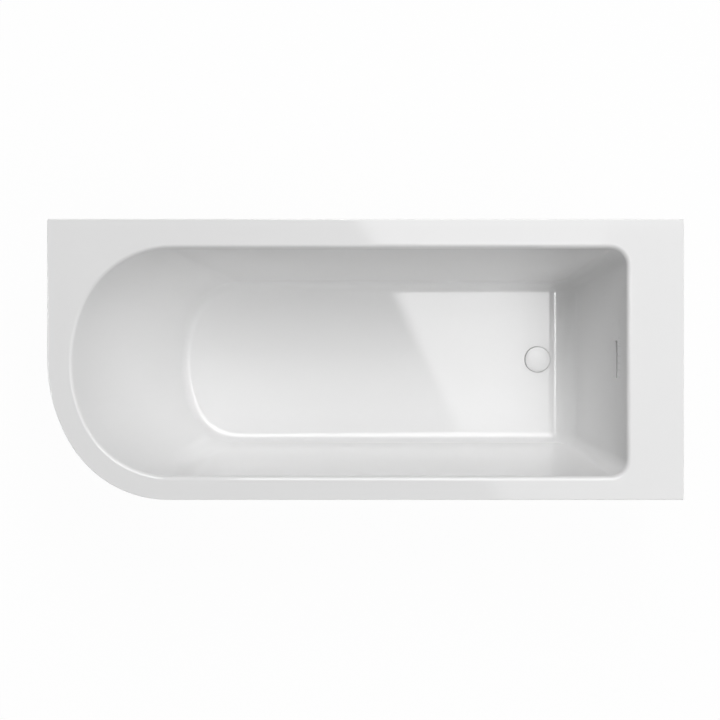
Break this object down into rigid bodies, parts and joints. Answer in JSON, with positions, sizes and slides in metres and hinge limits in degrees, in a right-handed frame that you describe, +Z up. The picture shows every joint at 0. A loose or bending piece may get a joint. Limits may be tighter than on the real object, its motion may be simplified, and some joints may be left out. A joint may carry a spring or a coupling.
{
  "type": "back-to-wall corner bathtub",
  "caption": "White acrylic bath for a corner, with one rounded end, a wide deck, a curved skirt, a steel cradle on levelling feet, a push waste, trap and slot overflow.",
  "frame": {"origin": "centre of the overall plan, on the floor under the levelling feet", "axes": "+X towards the waste end and its deck, which stand against the side wall; +Y towards the back wall; +Z up"},
  "size_m": [1.7, 0.75, 0.6],
  "materials": {
    "acrylic": "gloss white acrylic",
    "skirt_acrylic": "gloss white acrylic",
    "cover_white": "gloss white",
    "board": "resin-sealed particle board",
    "batten": "resin-sealed particle board",
    "zinc_steel": "galvanised",
    "bright_steel": "bright zinc",
    "chrome": "polished chrome",
    "rubber": "black rubber",
    "brass": "turned brass",
    "trap_plastic": "white polypropylene",
    "nut_plastic": "white polypropylene",
    "hose_plastic": "white polyethylene",
    "pad_plastic": "black plastic"
  },
  "bodies": {
    "root": {"base_board": "board", "board_screws": "bright_steel", "body_seal": "rubber", "bracket_screws": "bright_steel", "click_cartridge": "brass", "cross_rail_left": "zinc_steel", "cross_rail_middle": "zinc_steel", "cross_rail_right": "zinc_steel", "deck_batten": "batten", "flange_seal": "rubber", "foot_nuts": "bright_steel", "hose_clips": "bright_steel", "outlet_nut": "nut_plastic", "outlet_seal": "rubber", "overflow_box": "trap_plastic", "overflow_gasket": "rubber", "overflow_hose": "hose_plastic", "panel_strap_left": "zinc_steel", "panel_strap_middle": "zinc_steel", "panel_strap_right": "zinc_steel", "rail_bolts": "bright_steel", "rim_batten_back": "batten", "rim_batten_front": "batten", "side_rail_back": "zinc_steel", "side_rail_front": "zinc_steel", "skirt_panel": "skirt_acrylic", "trap_body": "trap_plastic", "trap_cleaning_cap": "nut_plastic", "trap_inlet_nut": "nut_plastic", "trap_inlet_washer": "rubber", "tub_shell": "acrylic", "wall_bracket_1": "zinc_steel", "wall_bracket_2": "zinc_steel", "wall_bracket_3": "zinc_steel", "wall_bracket_4": "zinc_steel", "wall_bracket_5": "zinc_steel", "waste_body": "trap_plastic", "waste_flange": "chrome"},
    "plug": {"plug_cap": "cover_white", "plug_stem": "bright_steel", "plug_seal": "rubber"},
    "foot_1": {"foot_stud_1": "bright_steel", "foot_pad_1": "pad_plastic"},
    "foot_2": {"foot_stud_2": "bright_steel", "foot_pad_2": "pad_plastic"},
    "foot_3": {"foot_stud_3": "bright_steel", "foot_pad_3": "pad_plastic"},
    "foot_4": {"foot_stud_4": "bright_steel", "foot_pad_4": "pad_plastic"},
    "foot_5": {"foot_stud_5": "bright_steel", "foot_pad_5": "pad_plastic"},
    "foot_6": {"foot_stud_6": "bright_steel", "foot_pad_6": "pad_plastic"}
  },
  "joints": [
    {"name": "plug_press", "type": "slide", "parent": "root", "child": "plug", "axis": [0, 0, 1], "range_m": [0, 0.009]},
    {"name": "foot_1_level", "type": "slide", "parent": "root", "child": "foot_1", "axis": [0, 0, -1], "range_m": [-0.012, 0.012]},
    {"name": "foot_2_level", "type": "slide", "parent": "root", "child": "foot_2", "axis": [0, 0, -1], "range_m": [-0.012, 0.012]},
    {"name": "foot_3_level", "type": "slide", "parent": "root", "child": "foot_3", "axis": [0, 0, -1], "range_m": [-0.012, 0.012]},
    {"name": "foot_4_level", "type": "slide", "parent": "root", "child": "foot_4", "axis": [0, 0, -1], "range_m": [-0.012, 0.012]},
    {"name": "foot_5_level", "type": "slide", "parent": "root", "child": "foot_5", "axis": [0, 0, -1], "range_m": [-0.012, 0.012]},
    {"name": "foot_6_level", "type": "slide", "parent": "root", "child": "foot_6", "axis": [0, 0, -1], "range_m": [-0.012, 0.012]}
  ]
}
